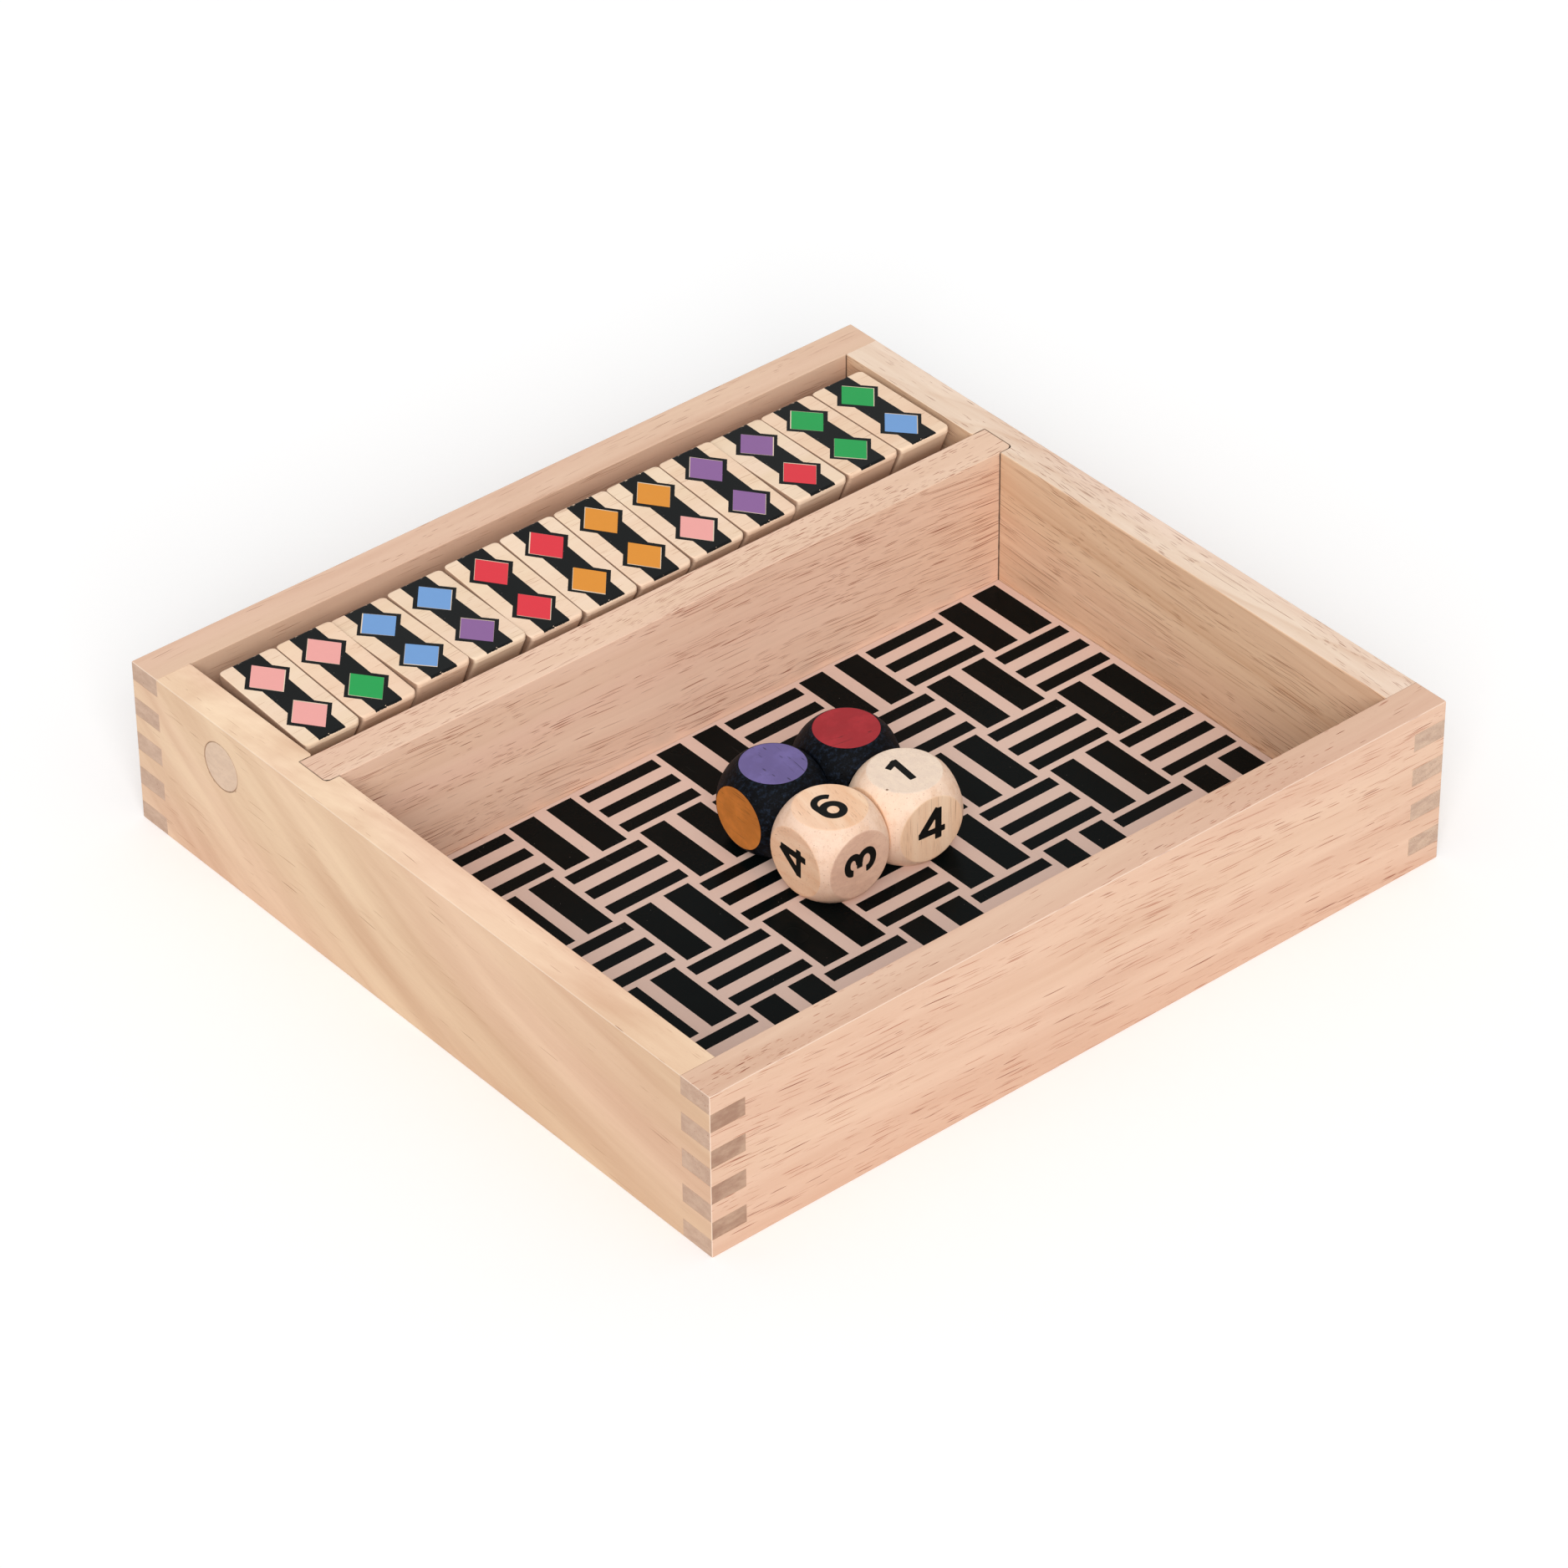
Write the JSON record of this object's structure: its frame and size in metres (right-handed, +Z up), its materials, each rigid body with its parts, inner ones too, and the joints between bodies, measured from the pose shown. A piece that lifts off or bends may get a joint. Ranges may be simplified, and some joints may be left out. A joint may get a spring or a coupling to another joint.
{
  "type": "shut the box game",
  "caption": "Open finger-jointed wooden box with a row of tiles that turn on a dowel behind a divider, and a printed dice tray in front with number dice and colour dice.",
  "frame": {"origin": "centre of the base, on the surface that the box stands on", "axes": "+X to the right along the dowel and the divider, +Y from the dice tray to the tiles at the back, +Z up"},
  "size_m": [0.25, 0.239, 0.053],
  "materials": {
    "wall_wood": "satin clear lacquer",
    "divider_wood": "satin clear lacquer",
    "panel_wood": "plain sanded board",
    "printed_card": "satin laminated print in black and pale pink",
    "dowel_wood": "plain sanded dowel",
    "tile_wood": "pale sanded wood with matt screen-printed paint",
    "die_wood": "sanded wood with black printed numbers",
    "die_paint": "black dyed wood with painted flats"
  },
  "bodies": {
    "box": {"front_wall": "wall_wood", "back_wall": "wall_wood", "left_wall": "wall_wood", "right_wall": "wall_wood", "divider": "divider_wood", "bottom_panel": "panel_wood", "printed_liner": "printed_card", "tile_rod": "dowel_wood"},
    "tile_01": {"tile_01": "tile_wood"},
    "tile_02": {"tile_02": "tile_wood"},
    "tile_03": {"tile_03": "tile_wood"},
    "tile_04": {"tile_04": "tile_wood"},
    "tile_05": {"tile_05": "tile_wood"},
    "tile_06": {"tile_06": "tile_wood"},
    "tile_07": {"tile_07": "tile_wood"},
    "tile_08": {"tile_08": "tile_wood"},
    "tile_09": {"tile_09": "tile_wood"},
    "tile_10": {"tile_10": "tile_wood"},
    "tile_11": {"tile_11": "tile_wood"},
    "tile_12": {"tile_12": "tile_wood"},
    "number_die_a": {"number_die_a": "die_wood"},
    "number_die_b": {"number_die_b": "die_wood"},
    "colour_die_a": {"colour_die_a": "die_paint"},
    "colour_die_b": {"colour_die_b": "die_paint"}
  },
  "joints": [
    {"name": "tile_01_turn", "type": "hinge", "parent": "box", "child": "tile_01", "pos_m": [-0.10268, 0.0809, 0.0382], "axis": [1, 0, 0], "continuous": true},
    {"name": "tile_02_turn", "type": "hinge", "parent": "box", "child": "tile_02", "pos_m": [-0.08402, 0.0809, 0.0382], "axis": [1, 0, 0], "continuous": true},
    {"name": "tile_03_turn", "type": "hinge", "parent": "box", "child": "tile_03", "pos_m": [-0.06535, 0.0809, 0.0382], "axis": [1, 0, 0], "continuous": true},
    {"name": "tile_04_turn", "type": "hinge", "parent": "box", "child": "tile_04", "pos_m": [-0.04668, 0.0809, 0.0382], "axis": [1, 0, 0], "continuous": true},
    {"name": "tile_05_turn", "type": "hinge", "parent": "box", "child": "tile_05", "pos_m": [-0.028, 0.0809, 0.0382], "axis": [1, 0, 0], "continuous": true},
    {"name": "tile_06_turn", "type": "hinge", "parent": "box", "child": "tile_06", "pos_m": [-0.00933, 0.0809, 0.0382], "axis": [1, 0, 0], "continuous": true},
    {"name": "tile_07_turn", "type": "hinge", "parent": "box", "child": "tile_07", "pos_m": [0.00933, 0.0809, 0.0382], "axis": [1, 0, 0], "continuous": true},
    {"name": "tile_08_turn", "type": "hinge", "parent": "box", "child": "tile_08", "pos_m": [0.028, 0.0809, 0.0382], "axis": [1, 0, 0], "continuous": true},
    {"name": "tile_09_turn", "type": "hinge", "parent": "box", "child": "tile_09", "pos_m": [0.04668, 0.0809, 0.0382], "axis": [1, 0, 0], "continuous": true},
    {"name": "tile_10_turn", "type": "hinge", "parent": "box", "child": "tile_10", "pos_m": [0.06535, 0.0809, 0.0382], "axis": [1, 0, 0], "continuous": true},
    {"name": "tile_11_turn", "type": "hinge", "parent": "box", "child": "tile_11", "pos_m": [0.08402, 0.0809, 0.0382], "axis": [1, 0, 0], "continuous": true},
    {"name": "tile_12_turn", "type": "hinge", "parent": "box", "child": "tile_12", "pos_m": [0.10268, 0.0809, 0.0382], "axis": [1, 0, 0], "continuous": true},
    {"name": "number_die_a_lift", "type": "slide", "parent": "box", "child": "number_die_a", "axis": [0, 0, 1], "range_m": [0, 0.1]},
    {"name": "number_die_b_lift", "type": "slide", "parent": "box", "child": "number_die_b", "axis": [0, 0, 1], "range_m": [0, 0.1]},
    {"name": "colour_die_a_lift", "type": "slide", "parent": "box", "child": "colour_die_a", "axis": [0, 0, 1], "range_m": [0, 0.1]},
    {"name": "colour_die_b_lift", "type": "slide", "parent": "box", "child": "colour_die_b", "axis": [0, 0, 1], "range_m": [0, 0.1]}
  ]
}
